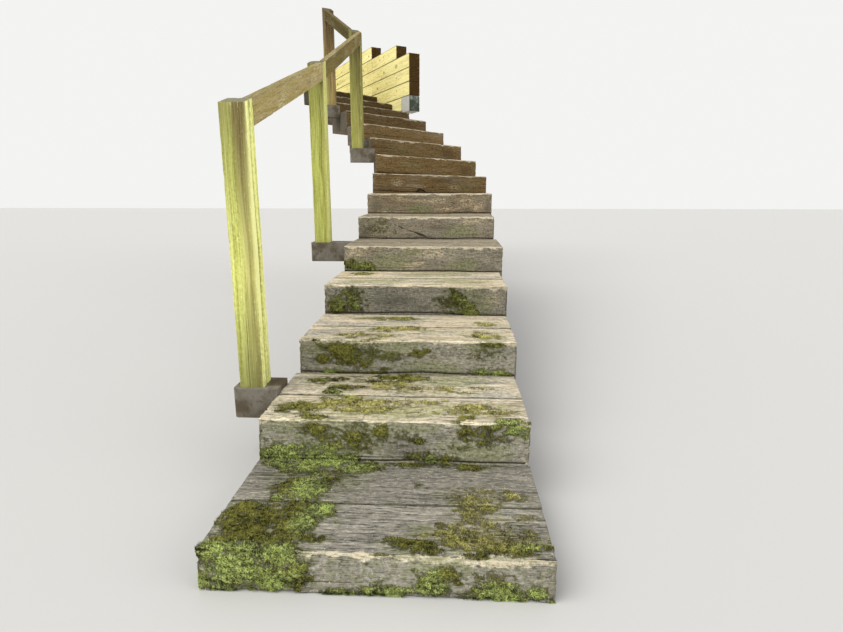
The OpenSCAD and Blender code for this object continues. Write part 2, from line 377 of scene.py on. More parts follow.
def shell(counts):
    """The points on the outside of a lattice, as index triples, and the quads between them."""
    index = {}
    triples = []
    quads = []

    def point(triple):
        if triple not in index:
            index[triple] = len(triples)
            triples.append(triple)
        return index[triple]

    for axis in range(3):
        one, two = (axis + 1) % 3, (axis + 2) % 3
        for side in (0, counts[axis] - 1):
            for a in range(counts[one] - 1):
                for b in range(counts[two] - 1):
                    ring = []
                    for da, db in ((0, 0), (1, 0), (1, 1), (0, 1)):
                        triple = [0, 0, 0]
                        triple[axis], triple[one], triple[two] = side, a + da, b + db
                        ring.append(point(tuple(triple)))
                    quads.append(ring if side else ring[::-1])
    return np.array(triples), quads


def wander(places, scales, seed):
    """Smooth noise, mostly from -1 to 1, at each place."""
    shifted = places * np.array(scales) + seed * 7.31
    return np.array([noise.noise(p) for p in shifted.tolist()]) * 1.6


def smooth(value):
    value = np.clip(value, 0, 1)
    return value * value * (3 - 2 * value)


# What a spot of growth adds to each field of a mesh
SPOTS = {
    "film": {"film": 0.8},
    "moss": {"moss": 1.0, "film": 0.75},
    "bright": {"moss": 1.1, "bright": 1.1, "film": 0.75},
    "green": {"moss": 1.0, "bright": 0.45, "film": 0.75},
    "gold": {"moss": 0.75, "gold": 1.1, "film": 0.75},
    "faint": {"film": 0.45},
    "thin": {"moss": 0.46, "film": 0.5},
    "thin_bright": {"moss": 0.46, "bright": 0.9, "film": 0.5},
    "thin_gold": {"moss": 0.42, "gold": 1.0, "film": 0.5},
    "warm": {"warm": 0.4},
    "pale": {"bleach": 0.4, "pale": 1.0},
    "dark": {"grime": 0.8},
    "worn": {"wear": 0.9},
}
FIELDS = ("film", "moss", "bright", "gold", "warm", "grime", "knot", "specks", "crack", "wear", "end",
          "front", "bleach", "pale")


class Timber:
    """A weathered timber in the place of a CAD node, which only its moss stands proud of.

    spacing is the distance between the lines of its mesh by axis, edge and back_edge how round its front
    and its back edges are, and tight the faces that hardly sink, as (axis, high). All sizes are in mm."""

    def __init__(self, name, corners, finish, seed, spacing, edge, cracks=(), back_edge=None, tight=()):
        self.name = name
        self.corners = corners
        self.finish = finish
        self.edge = edge
        self.back_edge = back_edge or edge
        self.seed = seed
        self.cracks = cracks
        self.tight = tight
        self.draw = random.Random(seed)
        sides = [np.linalg.norm(np.take(corners, 1, a) - np.take(corners, 0, a), axis=-1) for a in range(3)]
        self.size = np.array([side.mean() for side in sides]) / MM
        places = [
            lines(self.size[a], spacing[a], edge, [(c["at"], c["half"]) for c in cracks if c["axis"] == a])
            for a in range(3)]
        triples, self.quads = shell([len(p) for p in places])
        self.flat = np.stack([places[a][triples[:, a]] for a in range(3)], axis=1)
        self.fields = {field: np.zeros(len(self.flat)) for field in FIELDS}
        self.fields["tone"] = np.ones(len(self.flat))
        self.swirl = np.zeros((len(self.flat), 3))

    def spot(self, kind, along, across, up, reach):
        """Adds growth round a point given as shares of the sides, as a ragged group of smaller spots."""
        middle = np.array([along, across, up]) * self.size
        reach = np.array(reach)
        parts = [(middle, reach * 1.1)]
        for _ in range(12):
            turn = np.array([self.draw.uniform(-1, 1) for _ in range(3)])
            parts.append((middle + turn * reach, reach * self.draw.uniform(0.2, 0.6)))
        away = np.min([np.linalg.norm((self.flat - place) / size, axis=1) for place, size in parts], axis=0)
        for field, strength in SPOTS[kind].items():
            spread = 1.5 if field == "film" else 1.0
            cover = smooth(1.3 * (1 - away / spread))
            self.fields[field] = np.maximum(self.fields[field], strength * cover)

    def knot(self, along, across, up, radius):
        """A knot, which the grain flows round."""
        offset = self.flat - np.array([along, across, up]) * self.size
        away = np.linalg.norm(offset / np.array([1.5, 1, 1]), axis=1) / radius
        near = np.exp(-away ** 2)[:, None]
        self.fields["knot"] = np.maximum(self.fields["knot"], smooth(1.15 - away * 0.75))
        self.swirl -= offset * near * np.array([0, 0.75, 0.75])

    def slant(self, start, end, half):
        """A crack on the front, between two points given as shares of the length and the height."""
        plane = self.flat[:, [GRAIN, UP]]
        start, end = (np.array(p) * self.size[[GRAIN, UP]] for p in (start, end))
        share = np.clip((plane - start) @ (end - start) / np.sum((end - start) ** 2), 0, 1)
        away = np.linalg.norm(plane - start - share[:, None] * (end - start), axis=1)
        away = away + 4 * wander(self.flat, (1 / 35, 0, 1 / 35), self.seed + 9)
        on = smooth(1.25 - np.abs(away) / half) * (self.flat[:, ACROSS] < 0.01)
        self.fields["crack"] = np.maximum(self.fields["crack"], on)

    def weather(self, depth, moss_height=0.0, worn_rim=0.0):
        """Wears the edges, sinks the surface unevenly, opens the cracks and raises the moss. worn_rim is
        how wide the pale rim above the front is."""
        flat, size = self.flat, self.size
        at_front = flat[:, ACROSS] < size[ACROSS] / 2
        edge = np.where(at_front, self.edge, self.back_edge)
        radius = edge * (0.72 + 0.4 * wander(flat, (1 / 120, 1 / 300, 1 / 300), self.seed))
        radius = np.clip(radius, 1.5, edge)[:, None]
        core = np.clip(flat, radius, size - radius)
        out = flat - core
        self.normal = out / np.maximum(np.linalg.norm(out, axis=1, keepdims=True), 1e-6)
        place = core + self.normal * radius
        level = np.abs(self.normal)

        swell = 0.5 + 0.5 * wander(flat, (1 / 170, 1 / 90, 1 / 90), self.seed + 1)
        ridges = 0.5 + 0.5 * wander(flat, (1 / 200, 1 / 15, 1 / 15), self.seed + 2)
        nicks = wander(flat, (1 / 40, 1 / 20, 1 / 20), self.seed + 3)
        chips = smooth(nicks * 2 - 0.5)
        to_edge = np.sort(np.minimum(flat, size - flat), axis=1)[:, 1]
        rim = smooth(1 - to_edge / (2.4 * edge))
        chip = np.where(at_front, 7.0, 2.0)
        sink = depth * (2.0 * swell + 1.6 * ridges + chip * chips * rim) + 0.3
        crack = np.zeros(len(flat))
        for c in self.cracks:
            on = np.abs(flat[:, c["axis"]] - c["at"]) < 0.01
            face = 3 - c["axis"]
            on &= (flat[:, face] > size[face] - 0.01) if c["high"] else (flat[:, face] < 0.01)
            open_part = on * smooth(np.minimum(flat[:, GRAIN] - c["from"], c["to"] - flat[:, GRAIN]) / 70)
            crack = np.maximum(crack, open_part)
            sink = sink + open_part * c["deep"]
        if moss_height:
            ragged = (0.30 * wander(flat, (1 / 60, 1 / 38, 1 / 38), self.seed + 5)
                      + 0.28 * wander(flat, (1 / 19, 1 / 14, 1 / 14), self.seed + 6))
            moss = self.fields["moss"] * (1 + ragged) + ragged * 0.35 * (self.fields["moss"] > 0.01)
            lumps = 0.5 + 0.5 * wander(flat, (1 / 13, 1 / 10, 1 / 10), self.seed + 7)
            self.fields["moss"] = np.clip(moss, 0, 1)
            sink = sink + 0.6 * moss_height * (level[:, ACROSS] > 0.3)
            sink = sink - moss_height * smooth(moss * 1.2 - 0.2) * (0.1 + 0.9 * lumps)
        bend = wander(flat * np.array([1, 0, 0]), (1 / 210, 1, 1), self.seed + 4)
        inside = smooth(np.minimum(flat, size - flat) / 25)
        for axis, high in self.tight:
            on = (flat[:, axis] > size[axis] / 2) == high
            sink = sink * (1 - 0.9 * on * (level[:, axis] > 0.8))
        place = place - self.normal * sink[:, None]
        place[:, ACROSS] += 5 * bend * inside[:, ACROSS] * (level[:, UP] > 0.9)
        place[:, UP] += 5 * bend * inside[:, UP] * (level[:, ACROSS] > 0.9)
        self.place = np.clip(place, np.array([0.05, 0.05, 0.05]), size + np.array([0, 0, moss_height]))
        self.fields["crack"] = np.maximum(self.fields["crack"], crack)
        self.fields["wear"] = self.fields["wear"] + np.clip(rim * (0.1 + 0.5 * chips), 0, 1)
        if worn_rim:
            to_rim = np.maximum(size[UP] - flat[:, UP], flat[:, ACROSS])
            width = worn_rim * (1 + 0.7 * nicks)
            self.fields["wear"] += 1.2 * smooth(1.3 - to_rim / np.maximum(width, 2))
        self.fields["end"] = (level[:, GRAIN] > 0.75) * 1.0

    def to_world(self, place):
        share = place / self.size
        world = np.zeros((len(share), 3))
        for pick in itertools.product((0, 1), repeat=3):
            weight = np.prod([share[:, a] if pick[a] else 1 - share[:, a] for a in range(3)], axis=0)
            world += weight[:, None] * self.corners[pick]
        return world

    def make(self):
        """Builds the mesh, with its fields kept on it."""
        shift = np.array([self.seed * 3.7, self.seed * 1.9, self.seed * 5.3]) % 40
        heart = (self.flat - self.size * np.array([0, 0.45, 0.42])) * np.array([0, 1, 1]) * MM
        vectors = {"wood": (self.flat + self.swirl) * MM + shift, "heart": heart}
        return make_piece(self.name, self.to_world(self.place), self.quads, self.finish, self.fields, vectors)

    def make_tufts(self, count, tall):
        """Single blades of moss, each with its foot on the moss of this timber, as one mesh."""
        moss = self.fields["moss"]
        thick = smooth((moss - 0.25) * 1.6) * (self.flat[:, GRAIN] > 2)
        pick = np.random.default_rng(self.seed)
        foot = pick.choice(len(moss), count, p=thick / thick.sum())
        spread = pick.uniform(-1, 1, (count, 3)) * np.array([5, 3.5, 3.5])
        flat_share = 1 - np.abs(self.normal[foot])
        base = np.clip(self.place[foot] + spread * flat_share, 1, self.size - 1)
        lean = self.normal[foot] + pick.normal(0, 0.42, (count, 3)) + np.array([0, 0, 0.25])
        lean /= np.linalg.norm(lean, axis=1, keepdims=True)
        height = tall * pick.uniform(0.45, 1.0, (count, 1)) * (1 + (pick.random((count, 1)) > 0.94))
        side = np.cross(lean, pick.normal(0, 1, (count, 3)))
        side *= pick.uniform(0.4, 1.0, (count, 1)) / np.linalg.norm(side, axis=1, keepdims=True)
        tip = base + lean * height
        points = np.stack([base - side, base + side, tip], axis=1).reshape(-1, 3)
        points = np.clip(points, 0.05, self.size - 0.05 + np.array([0, 0, tall]))
        faces = [(3 * n, 3 * n + 1, 3 * n + 2) for n in range(count)]
        fields = {field: np.repeat(self.fields[field][foot], 3) for field in ("bright", "gold")}
        fields["tip"] = np.tile([0.0, 0.0, 1.0], count)
        # Each blade is lighter or darker with its clump, as painted light and painted shade, and with its
        # patch and at random
        clump_light_and_shade = wander(base, (1 / 14, 1 / 11, 1 / 11), self.seed + 8)
        patches = wander(base, (1 / 48, 1 / 40, 1 / 40), self.seed + 10)
        tone = 0.68 + 1.5 * clump_light_and_shade + 1.3 * patches + pick.normal(0, 0.5, count)
        fields["tone"] = np.repeat(np.clip(tone, 0.12, 1.9), 3)
        return make_piece(f"{self.name}_moss", self.to_world(points), faces, "moss", fields, {})


def make_piece(name, points, faces, finish, fields, vectors):
    mesh = bpy.data.meshes.new(name)
    mesh.from_pydata(points.tolist(), [], faces)
    mesh.shade_smooth()
    mesh.materials.append(FINISH[finish])
    for field, values in fields.items():
        layer = mesh.attributes.new(field, "FLOAT", "POINT")
        layer.data.foreach_set("value", np.asarray(values, np.float32))
    for field, values in vectors.items():
        keep_vector(mesh, field, values)
    piece = bpy.data.objects.new(name, mesh)
    bpy.context.scene.collection.objects.link(piece)
    return piece


def hand_over(pieces, node=None):
    """Gives finished pieces to the frame, in place of a CAD node where one is named."""
    for piece in pieces:
        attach(piece, "root")
        if node:
            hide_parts(node)


def keep_vector(mesh, name, values):
    layer = mesh.attributes.new(name, "FLOAT_VECTOR", "POINT")
    layer.data.foreach_set("vector", np.asarray(values, np.float32).ravel())


def grain_cracks(draw, size, count, faces, deep=(3, 9)):
    """Cracks that run along the grain, each on one of the faces given as (axis, high). All sizes are in
    mm, and deep is how deep the shallowest and the deepest crack is."""
    cracks = []
    for _ in range(count):
        axis, high = draw.choice(faces)
        at = draw.uniform(0.14, 0.86) * size[axis]
        if any(c["axis"] == axis and abs(c["at"] - at) < 22 for c in cracks):
            continue
        start = draw.choice((-100, draw.uniform(0, 0.5) * size[GRAIN]))
        run = draw.uniform(0.25, 0.8) * size[GRAIN]
        cracks.append({"axis": axis, "high": high, "at": at, "half": draw.uniform(1.0, 2.2),
                       "deep": draw.uniform(*deep), "from": start, "to": start + run})
    return cracks


# About how long, wide and high the timbers are where cracks may lie, and the run of one along it all
TIE_SIZE = (864, 229, 178)
FRONT_SIZE = (864, 229, 115)
REAR_SIZE = (864, 180, 178)
POST_SIZE = (1000, 89, 89)
ALL_ALONG = {"from": -100, "to": 2000}

TIES = sorted(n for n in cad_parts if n.startswith("tie_"))
REAR_TIMBERS = sorted(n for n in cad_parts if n.startswith("rear_timber_"))
POSTS = sorted(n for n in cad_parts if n.endswith("_post"))
RAILS = sorted(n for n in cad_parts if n.endswith("_rail"))
COURSES = sorted(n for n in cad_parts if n.startswith("wall_course_"))
# Each post's tone on its front, at the foot, middle and top, and on its right side, how brown it is all
# over, how brown the streak on its front is and where it lies across, how bleached the front and the
# right side are, and half the width in mm of the check up its right side
POST_LOOKS = {
    "newel_post": {"front": (0.66, 1.44, 0.90), "right": 1.30, "brown": 0.00, "streak": (0.62, 0.73),
                   "bleach": (0.6, 1.3), "check": 11.0},
    "second_post": {"front": (0.92, 1.04, 0.66), "right": 1.00, "brown": 0.00, "streak": (0.12, 0.80),
                    "bleach": (0.0, 0.8), "check": 3.5},
    "third_post": {"front": (0.98, 0.80, 0.60), "right": 0.66, "brown": 0.55, "streak": (0.45, 0.80),
                   "bleach": (0.0, 0.2), "check": 3.5},
    "fourth_post": {"front": (0.90, 0.75, 0.60), "right": 0.60, "brown": 0.90, "streak": (0.45, 0.80),
                    "bleach": (0.0, 0.2), "check": 3.5},
    "fifth_post": {"front": (1.15, 0.85, 0.48), "right": 0.60, "brown": 1.50, "streak": (0.45, 0.80),
                   "bleach": (0.0, 0.0), "check": 3.5},
}
# How light the sides and the top of each rail are, how bleached its sides are, and its pale patches
RAIL_LOOKS = {"lower_rail": (1.36, 0.95, 0.9, 7), "middle_rail": (0.78, 0.95, 0.0, 7),
              "upper_rail": (0.40, 0.48, 0.0, 2)}
# Knots on the fronts, and a large one on the wall: the place along, across and up, and the radius
TIE_KNOTS = {3: (0.62, 0, 0.6, 12), 8: (0.43, 0, 0.25, 20), 11: (0.3, 0, 0.5, 16)}
LARGE_KNOT = (0.13, 1, 0.45, 26)
# Slanting cracks on the fronts: both ends as shares of length and height, and half the width
SLANTS = {6: [((0.27, 0.72), (0.60, 0.10), 4.5)],
          8: [((0.39, 0.24), (0.42, 0.36), 8), ((0.42, 0.36), (0.475, 0.25), 9)]}
# How many blades of moss stand on a front tie and on a rear timber, and how tall these are at most
TUFTS = {1: 30000, 2: 16000, 3: 8000, 4: 5000, 5: 2500}
REAR_TUFTS = {1: 9000, 2: 9000}
BLADE_HEIGHT = 11.0
REAR_BLADE_HEIGHT = 10.0
# How worn the wood of the steps is, how wide the pale rim of each tie is in mm, below the first upper
# step and from there on, and how high moss swells in mm, up to the last step where it is thick and above
STEP_WEAR = 0.9
FIRST_UPPER_STEP = 8
LOWER_RIM = 13
UPPER_RIM = 9
LAST_THICK_MOSS = 4
THICK_MOSS = 8.0
THIN_MOSS = 3.0


# Growth and stains: kind, place along and across (or up, on a front), reach along and across in mm
TOP_SPOTS = {
    1: [("film", 0.14, 0.5, 150, 110), ("moss", 0.12, 0.55, 130, 120), ("moss", 0.24, 0.75, 90, 80),
        ("moss", 0.20, 0.42, 100, 60), ("bright", 0.27, 0.55, 50, 70), ("moss", 0.08, 0.80, 70, 60),
        ("thin", 0.80, 0.35, 190, 80), ("thin_gold", 0.80, 0.60, 130, 70), ("thin", 0.62, 0.12, 90, 24),
        ("bright", 0.30, 0.80, 60, 60), ("moss", 0.18, 0.25, 120, 50), ("bright", 0.06, 0.04, 90, 36),
        ("film", 0.80, 0.30, 170, 70), ("moss", 0.86, 0.20, 110, 40), ("moss", 0.73, 0.28, 60, 34),
        ("gold", 0.78, 0.92, 75, 30), ("bright", 0.92, 0.24, 50, 26), ("moss", 0.60, 0.22, 90, 26),
        ("thin_gold", 0.82, 0.30, 150, 46), ("gold", 0.70, 0.45, 60, 26), ("bright", 0.22, 0.03, 110, 26)],
    2: [("gold", 0.36, 0.70, 120, 50), ("moss", 0.12, 0.50, 90, 60), ("moss", 0.24, 0.70, 60, 46),
        ("thin_gold", 0.40, 0.60, 280, 110), ("thin_gold", 0.80, 0.50, 160, 80), ("thin", 0.15, 0.5, 120, 90),
        ("gold", 0.80, 0.58, 90, 34), ("bright", 0.93, 0.08, 60, 26), ("film", 0.42, 0.4, 200, 50),
        ("bright", 0.28, 0.96, 50, 26), ("gold", 0.60, 0.72, 80, 30), ("gold", 0.30, 0.40, 60, 24),
        ("film", 0.75, 0.5, 160, 60), ("moss", 0.20, 0.12, 70, 22), ("gold", 0.47, 0.50, 60, 22)],
    3: [("gold", 0.88, 0.30, 80, 36), ("gold", 0.42, 0.85, 120, 36), ("thin_gold", 0.26, 0.35, 140, 60),
        ("thin_gold", 0.84, 0.5, 120, 70), ("thin_gold", 0.45, 0.8, 200, 50)],
    4: [("film", 0.25, 0.6, 160, 60), ("film", 0.75, 0.6, 160, 60)],
}
REAR_SPOTS = {
    1: [("moss", 0.19, 0.30, 90, 100), ("bright", 0.24, 0.25, 80, 80), ("bright", 0.17, 0.80, 100, 50),
        ("thin", 0.25, 0.55, 180, 110), ("thin_gold", 0.80, 0.20, 130, 60), ("thin", 0.6, 0.95, 260, 24),
        ("bright", 0.38, 0.88, 90, 40), ("moss", 0.43, 0.86, 50, 34), ("moss", 0.55, 0.94, 30, 16),
        ("moss", 0.78, 0.90, 60, 30), ("gold", 0.78, 0.08, 80, 32), ("moss", 0.60, 0.42, 18, 11),
        ("film", 0.25, 0.6, 150, 90), ("bright", 0.08, 0.9, 60, 30), ("bright", 0.24, 0.93, 150, 34),
        ("bright", 0.36, 0.78, 60, 30)],
    2: [("moss", 0.50, 0.80, 140, 40), ("moss", 0.25, 0.3, 70, 36), ("bright", 0.22, 0.12, 50, 30),
        ("thin", 0.45, 0.75, 230, 60), ("thin_gold", 0.60, 0.3, 200, 60), ("thin", 0.15, 0.6, 100, 70),
        ("film", 0.7, 0.7, 150, 60), ("gold", 0.45, 0.5, 90, 26)],
    3: [("moss", 0.40, 0.6, 150, 44), ("gold", 0.88, 0.25, 60, 44)],
    4: [("moss", 0.15, 0.6, 90, 60), ("film", 0.6, 0.6, 200, 70)],
}
FRONT_SPOTS = {
    1: [("bright", 0.10, 0.55, 110, 90), ("bright", 0.22, 0.35, 70, 50), ("moss", 0.29, 0.45, 40, 50),
        ("bright", 0.53, 0.10, 80, 30), ("bright", 0.66, 0.30, 55, 44), ("bright", 0.84, 0.12, 100, 34),
        ("bright", 0.40, 0.03, 60, 20), ("bright", 0.95, 0.2, 36, 30),
        ("film", 0.68, 0.7, 90, 40), ("moss", 0.70, 0.55, 50, 26), ("worn", 0.84, 0.88, 150, 18)],
    2: [("bright", 0.08, 0.28, 110, 60), ("bright", 0.24, 0.20, 110, 46), ("moss", 0.20, 0.82, 60, 34),
        ("film", 0.30, 0.85, 280, 36), ("thin", 0.30, 0.78, 170, 34),
        ("thin", 0.36, 0.68, 230, 66), ("thin", 0.84, 0.72, 110, 50), ("thin_bright", 0.2, 0.3, 190, 60),
        ("thin", 0.62, 0.3, 120, 40), ("dark", 0.55, 0.5, 120, 60),
        ("moss", 0.36, 0.72, 70, 30), ("bright", 0.34, 0.20, 70, 36), ("moss", 0.46, 0.80, 50, 24),
        ("moss", 0.76, 0.86, 40, 28), ("bright", 0.64, 0.22, 34, 16), ("film", 0.30, 0.6, 170, 60),
        ("bright", 0.95, 0.88, 50, 26), ("film", 0.80, 0.45, 130, 50), ("moss", 0.28, 0.50, 50, 30),
        ("moss", 0.60, 0.60, 30, 14), ("moss", 0.69, 0.14, 60, 14), ("moss", 0.86, 0.93, 50, 12)],
    3: [("moss", 0.20, 0.78, 110, 34), ("moss", 0.31, 0.50, 44, 34), ("thin", 0.24, 0.66, 190, 66),
        ("film", 0.26, 0.75, 240, 50), ("moss", 0.23, 0.62, 80, 40),
        ("thin", 0.85, 0.72, 110, 44), ("thin_bright", 0.86, 0.25, 110, 40), ("thin", 0.25, 0.15, 130, 30),
        ("moss", 0.55, 0.68, 40, 20), ("bright", 0.93, 0.22, 56, 24), ("bright", 0.15, 0.22, 50, 22),
        ("moss", 0.36, 0.22, 60, 22), ("film", 0.85, 0.85, 90, 24), ("moss", 0.87, 0.90, 60, 14),
        ("moss", 0.11, 0.55, 40, 30), ("film", 0.6, 0.3, 150, 40)],
    4: [("green", 0.07, 0.45, 60, 60), ("green", 0.16, 0.60, 60, 50), ("thin", 0.13, 0.5, 130, 90),
        ("bright", 0.18, 0.45, 20, 30), ("green", 0.72, 0.70, 50, 36), ("bright", 0.76, 0.60, 24, 24),
        ("green", 0.79, 0.50, 50, 34), ("film", 0.77, 0.5, 150, 90), ("thin", 0.70, 0.5, 110, 60),
        ("green", 0.80, 0.30, 60, 40), ("dark", 0.38, 0.55, 150, 50), ("pale", 0.92, 0.7, 60, 40)],
    5: [("green", 0.05, 0.42, 60, 40), ("green", 0.12, 0.38, 80, 38), ("warm", 0.15, 0.85, 120, 30),
        ("film", 0.12, 0.38, 130, 50), ("bright", 0.15, 0.34, 24, 18),
        ("film", 0.30, 0.5, 120, 60), ("thin", 0.62, 0.15, 70, 24), ("pale", 0.55, 0.75, 160, 26),
        ("film", 0.75, 0.4, 90, 40), ("pale", 0.08, 0.8, 70, 40), ("dark", 0.9, 0.3, 80, 60),
        ("dark", 0.30, 0.15, 120, 30), ("pale", 0.42, 0.4, 120, 20)],
    6: [("thin", 0.16, 0.65, 110, 60), ("warm", 0.30, 0.85, 110, 26),
        ("pale", 0.13, 0.1, 70, 30), ("dark", 0.45, 0.25, 70, 20), ("film", 0.75, 0.5, 110, 40),
        ("dark", 0.60, 0.6, 120, 24), ("pale", 0.85, 0.8, 90, 24), ("dark", 0.05, 0.4, 50, 60)],
    7: [("film", 0.42, 0.35, 90, 50), ("pale", 0.55, 0.72, 130, 24), ("pale", 0.80, 0.66, 80, 40),
        ("pale", 0.30, 0.80, 110, 20), ("pale", 0.88, 0.45, 40, 40), ("pale", 0.12, 0.30, 50, 16),
        ("dark", 0.08, 0.5, 70, 70), ("warm", 0.25, 0.7, 120, 50), ("faint", 0.15, 0.3, 90, 40),
        ("pale", 0.65, 0.4, 110, 20), ("dark", 0.40, 0.85, 150, 20), ("dark", 0.97, 0.5, 30, 80)],
    8: [("dark", 0.43, 0.30, 46, 22), ("pale", 0.40, 0.50, 90, 14), ("pale", 0.72, 0.45, 60, 22),
        ("dark", 0.62, 0.75, 120, 24), ("dark", 0.15, 0.25, 120, 20), ("pale", 0.22, 0.6, 70, 40),
        ("faint", 0.8, 0.5, 120, 50)],
    9: [("faint", 0.35, 0.6, 150, 50), ("dark", 0.9, 0.5, 90, 70)],
    10: [("faint", 0.3, 0.6, 150, 50), ("dark", 0.85, 0.5, 110, 70)],
}
# How brown the front of each upper step is, and the most that its tread is
UPPER_WARM = {5: 0.20, 6: 0.35, 7: 0.6, 8: 1.2, 9: 1.5, 10: 1.5, 11: 1.5, 12: 1.5, 13: 1.5, 14: 1.5, 15: 1.5}
BROWNEST_TREAD = 0.8
# How light the tread and the front of each step are
STEP_TONE = {1: (0.86, 1.29), 2: (1.29, 1.38), 3: (1.21, 1.19), 4: (1.25, 0.84), 5: (0.83, 1.06),
             6: (0.91, 1.15), 7: (0.96, 1.11), 8: (0.96, 0.83), 9: (0.96, 0.94), 10: (0.96, 0.89),
             11: (0.96, 1.00), 12: (0.77, 0.62), 13: (0.67, 0.56), 14: (0.53, 0.52), 15: (0.43, 0.43)}
# How bleached the treads are
BLEACH = {1: 0.0, 2: 0.8, 3: 1.2, 4: 1.4}
OTHER_BLEACH = 0.8
# How far a spot on one face reaches into the next
DEEP_REACH = 60


def grow(timber, top_spots, front_spots=()):
    for kind, along, across, reach_along, reach_across in top_spots:
        timber.spot(kind, along, across, 1, (reach_along, reach_across, DEEP_REACH))
    for kind, along, up, reach_along, reach_up in front_spots:
        timber.spot(kind, along, 0, up, (reach_along, DEEP_REACH, reach_up))


def tint(timber, number):
    """The general look of a step: browner up the flight, pale on the tread, rough and green in front, with
    painted shade over the front, deepest towards its foot.
    """
    fields, flat, size = timber.fields, timber.flat, timber.size
    fields["specks"] += 1.0
    fields["front"] = smooth(1.2 - flat[:, ACROSS] / 10)
    front_warm = UPPER_WARM.get(number, 0.0)
    tread_warm = min(front_warm, BROWNEST_TREAD)
    fields["warm"] += tread_warm + (front_warm - tread_warm) * fields["front"]
    tread_tone, front_tone = STEP_TONE[number]
    fields["tone"] = tread_tone + (front_tone - tread_tone) * fields["front"]
    # Painted shade: the whole front a little darker, and darker still towards its foot
    shadow = fields["front"] * (0.15 + 0.5 * smooth(1 - flat[:, UP] / size[UP] * 2.5))
    fields["bleach"] += smooth((flat[:, UP] - size[UP]) / 6 + 1) * BLEACH.get(number, OTHER_BLEACH)
    fields["film"] += (0.40 if number == 1 else 0.24) * fields["front"] + 0.06 * (1 < number < 5)
    fields["grime"] += shadow
    if number > LAST_THICK_MOSS:
        fields["front"] *= 0.9 if number < FIRST_UPPER_STEP else 0.5


# Distance between the lines of a tie's mesh, in mm, for the steps up to each number
SPACINGS = ((2, (6, 4, 4.5)), (4, (9, 5.5, 6)), (5, (14, 8, 8)), (6, (8, 10, 4.5)), (7, (14, 8, 8)),
            (8, (9, 11, 6)), (15, (20, 11, 12)))


def tie_spacing(number):
    return next(s for last, s in SPACINGS if number <= last)


def moss_height(number):
    return THICK_MOSS if number <= LAST_THICK_MOSS else THIN_MOSS


def make_ties():
    tread_below = 0.0
    for number, node in enumerate(TIES, 1):
        draw = random.Random(100 + number)
        corners = box_corners(node, *tie_axes(node))
        buried = (tread_below - corners[:, 0, 0, 2].mean()) / MM
        tread_below = corners[:, :, 1, 2].mean()
        cracks = grain_cracks(draw, TIE_SIZE, 3, [(ACROSS, True)])
        cracks += grain_cracks(draw, FRONT_SIZE, 1, [(UP, False)], (1.5, 4))
        if number > 1:
            # A groove, dark with painted shade, where the front meets the tread below
            cracks.append({"axis": UP, "high": False, "at": buried + 4, "half": 4.5, "deep": 5, **ALL_ALONG})
        tie = Timber(f"weathered_{node}", corners, "tie", number, tie_spacing(number), 9, cracks, 3,
                     [(ACROSS, True)])
        tint(tie, number)
        grow(tie, TOP_SPOTS.get(number, ()), FRONT_SPOTS.get(number, ()))
        if number in TIE_KNOTS:
            tie.knot(*TIE_KNOTS[number])
        for line in SLANTS.get(number, ()):
            tie.slant(*line)
        gap = wander(tie.flat, (1 / 90, 0, 0), number + 60)
        seam = smooth(1.2 + 0.6 * gap - (tie.size[ACROSS] - tie.flat[:, ACROSS]) / 5)
        tie.fields["crack"] = np.maximum(tie.fields["crack"], seam)
        rim = LOWER_RIM if number < FIRST_UPPER_STEP else UPPER_RIM
        tie.weather(STEP_WEAR, moss_height(number), rim)
        hand_over([tie.make()], node)
        if number in TUFTS:
            hand_over([tie.make_tufts(TUFTS[number], BLADE_HEIGHT)])


def make_rear_timbers():
    for number, node in enumerate(REAR_TIMBERS, 1):
        draw = random.Random(200 + number)
        corners = box_corners(node, *tie_axes(TIES[number - 1]))
        cracks = grain_cracks(draw, REAR_SIZE, 3, [(ACROSS, True)])
        near, across, _ = tie_spacing(number if number < 4 else 7)
        timber = Timber(f"weathered_{node}", corners, "tie", 40 + number, (near, across, 20), 3, cracks,
                        tight=[(ACROSS, True), (ACROSS, False)])
        tint(timber, number)
        timber.fields["front"] *= 0
        timber.fields["tone"] *= 0.88 if number == 1 else 1.0
        grow(timber, REAR_SPOTS.get(number, ()))
        # Painted shade along the back, in the corner at the foot of the next step's front
        timber.fields["grime"] += 0.7 * smooth(1 - (timber.size[ACROSS] - timber.flat[:, ACROSS]) / 30)
        timber.weather(STEP_WEAR, moss_height(number))
        hand_over([timber.make()], node)
        if number in REAR_TUFTS:
            hand_over([timber.make_tufts(REAR_TUFTS[number], REAR_BLADE_HEIGHT)])


